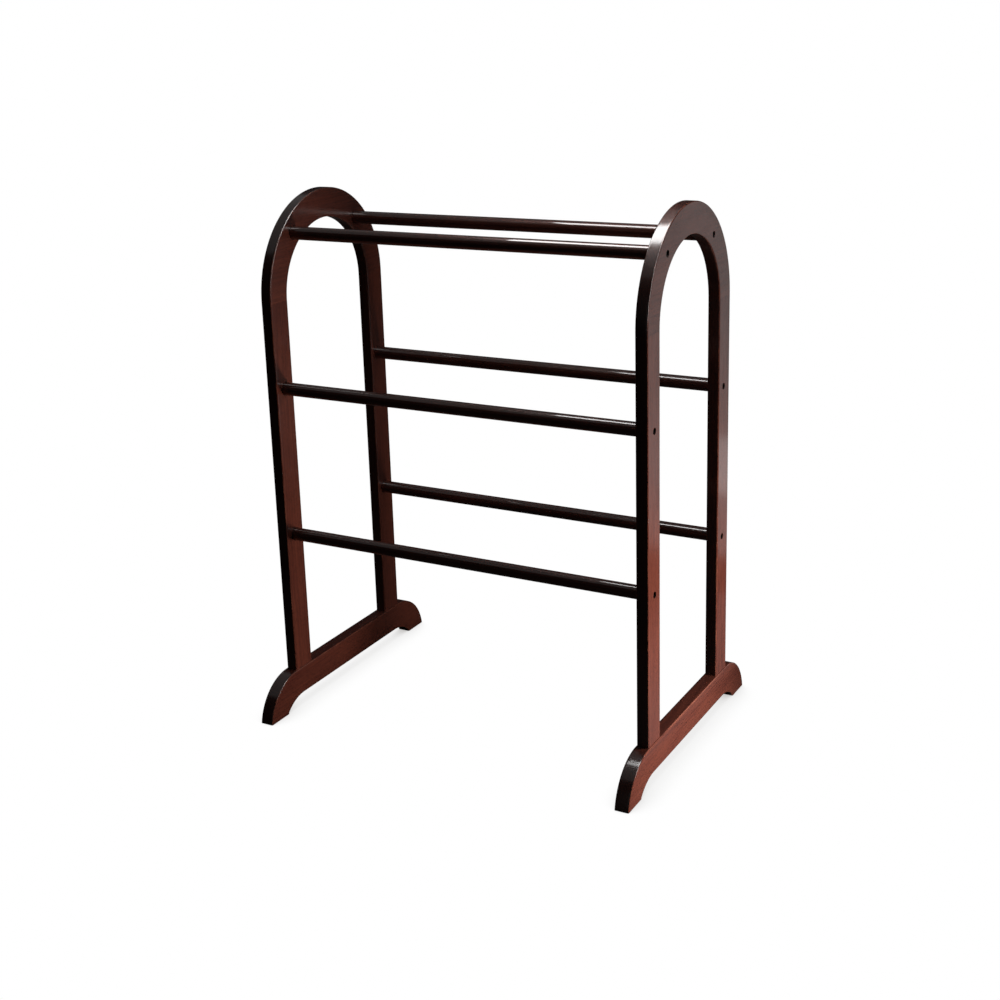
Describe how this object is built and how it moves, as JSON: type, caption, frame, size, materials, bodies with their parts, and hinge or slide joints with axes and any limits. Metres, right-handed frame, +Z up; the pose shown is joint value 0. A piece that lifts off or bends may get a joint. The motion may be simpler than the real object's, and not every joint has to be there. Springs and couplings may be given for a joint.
{
  "type": "quilt rack",
  "caption": "Free-standing quilt rack: arched board end frames on scrolled feet, tied together by pairs of round rails over which quilts and blankets are draped.",
  "frame": {"origin": "on the floor, under the middle of the rack", "axes": "+X along the rails to the right-hand end frame, +Y from front to rear, +Z up"},
  "size_m": [0.659, 0.476, 0.851],
  "materials": {
    "stained_board": "dark mahogany stain under satin lacquer",
    "stained_rail": "dark mahogany stain under gloss lacquer",
    "raw_beech": "unfinished fluted beech",
    "black_steel": "black oxide",
    "zinc_steel": "yellow zinc plate"
  },
  "bodies": {
    "root": {"right_crown": "stained_board", "left_crown": "stained_board", "right_foot": "stained_board", "left_foot": "stained_board", "right_front_leg": "stained_board", "right_rear_leg": "stained_board", "left_front_leg": "stained_board", "left_rear_leg": "stained_board", "top_front_rail": "stained_rail", "top_rear_rail": "stained_rail", "middle_front_rail": "stained_rail", "middle_rear_rail": "stained_rail", "low_front_rail": "stained_rail", "low_rear_rail": "stained_rail", "right_front_top_bolt": "black_steel", "right_front_middle_bolt": "black_steel", "right_front_low_bolt": "black_steel", "right_rear_top_bolt": "black_steel", "right_rear_middle_bolt": "black_steel", "right_rear_low_bolt": "black_steel", "left_front_top_bolt": "black_steel", "left_front_middle_bolt": "black_steel", "left_front_low_bolt": "black_steel", "left_rear_top_bolt": "black_steel", "left_rear_middle_bolt": "black_steel", "left_rear_low_bolt": "black_steel", "right_front_top_insert": "zinc_steel", "right_front_middle_insert": "zinc_steel", "right_front_low_insert": "zinc_steel", "right_rear_top_insert": "zinc_steel", "right_rear_middle_insert": "zinc_steel", "right_rear_low_insert": "zinc_steel", "left_front_top_insert": "zinc_steel", "left_front_middle_insert": "zinc_steel", "left_front_low_insert": "zinc_steel", "left_rear_top_insert": "zinc_steel", "left_rear_middle_insert": "zinc_steel", "left_rear_low_insert": "zinc_steel", "right_front_foot_screw": "zinc_steel", "right_rear_foot_screw": "zinc_steel", "left_front_foot_screw": "zinc_steel", "left_rear_foot_screw": "zinc_steel", "right_front_crown_pin_outer": "raw_beech", "right_front_crown_pin_inner": "raw_beech", "right_rear_crown_pin_outer": "raw_beech", "right_rear_crown_pin_inner": "raw_beech", "left_front_crown_pin_outer": "raw_beech", "left_front_crown_pin_inner": "raw_beech", "left_rear_crown_pin_outer": "raw_beech", "left_rear_crown_pin_inner": "raw_beech", "right_front_foot_pin_outer": "raw_beech", "right_front_foot_pin_inner": "raw_beech", "right_rear_foot_pin_outer": "raw_beech", "right_rear_foot_pin_inner": "raw_beech", "left_front_foot_pin_outer": "raw_beech", "left_front_foot_pin_inner": "raw_beech", "left_rear_foot_pin_outer": "raw_beech", "left_rear_foot_pin_inner": "raw_beech"}
  },
  "joints": []
}
